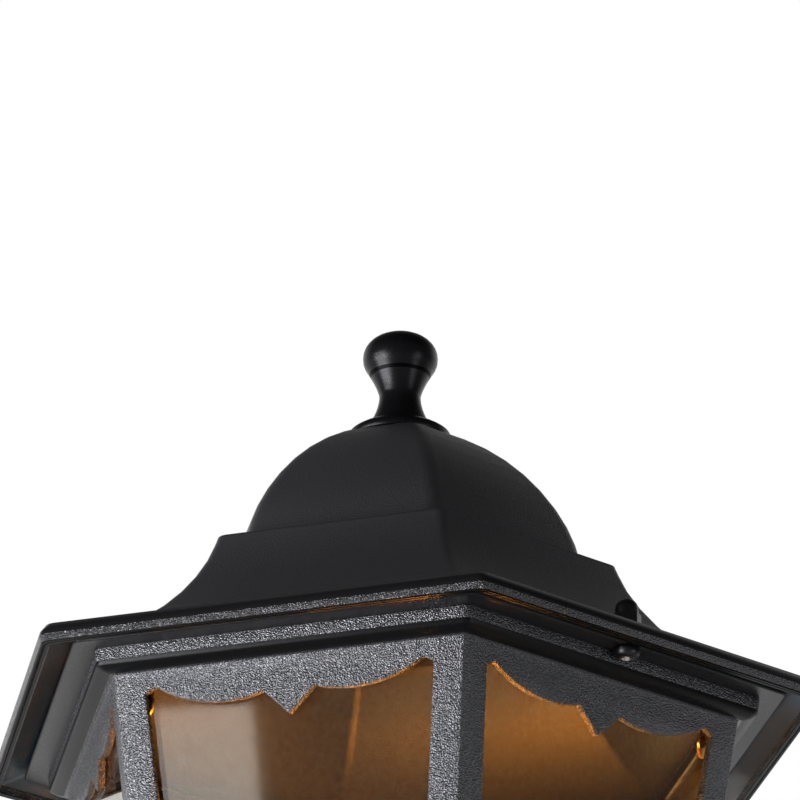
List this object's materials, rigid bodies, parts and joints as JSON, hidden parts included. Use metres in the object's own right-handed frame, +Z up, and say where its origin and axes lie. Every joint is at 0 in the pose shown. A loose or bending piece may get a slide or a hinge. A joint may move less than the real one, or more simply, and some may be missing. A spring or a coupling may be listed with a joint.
{
  "type": "lamp post",
  "caption": "Garden lamp post: round post on a flared foot carrying a hexagonal tapered lantern with scalloped glazed windows, a stepped domed roof and a turned ball finial",
  "frame": {"origin": "bottom centre of the foot, on the ground, on the post's axis", "axes": "+Z up along the post; one corner of the hexagonal lantern faces -Y; the two roof screws lie at azimuths -60 and 120 degrees"},
  "size_m": [0.2174, 0.2498, 1.2491],
  "materials": {
    "cast_black": "grainy satin powder coat",
    "roof_black": "satin powder coat",
    "tube_black": "grainy satin powder coat on aluminium",
    "gloss_black": "high gloss",
    "black_steel": "satin black",
    "plain_steel": "zinc plated",
    "clip_brass": "polished",
    "rubber": "matt",
    "bakelite": "moulded",
    "white_block": "moulded",
    "smoked_glass": "clear, lightly tinted",
    "bulb_opal": "opal",
    "bulb_metal": "rolled thread"
  },
  "bodies": {
    "root": {"base_foot": "cast_black", "cable_grommet": "rubber", "foot_grub_screws": "plain_steel", "post_tube": "tube_black", "mid_collar": "cast_black", "collar_grub_screw": "plain_steel", "lantern_cup": "cast_black", "socket_grub_screws": "plain_steel", "window_frame": "cast_black", "pane_clips": "clip_brass", "frame_screws": "plain_steel", "lamp_bracket": "plain_steel", "bracket_screws": "plain_steel", "earth_screw": "clip_brass", "nipple": "plain_steel", "nipple_nuts": "plain_steel", "terminal_block": "white_block", "holder_cap": "bakelite", "holder_shell": "bakelite", "bulb_cap": "bulb_metal", "bulb_glass": "bulb_opal", "roof": "roof_black", "roof_screws": "plain_steel", "roof_washers": "black_steel", "cap_nuts": "black_steel", "finial_flange": "gloss_black", "finial_knob": "gloss_black", "finial_stud": "plain_steel", "finial_nut": "plain_steel", "pane_1": "smoked_glass", "pane_2": "smoked_glass", "pane_3": "smoked_glass", "pane_4": "smoked_glass", "pane_5": "smoked_glass", "pane_6": "smoked_glass"}
  },
  "joints": []
}
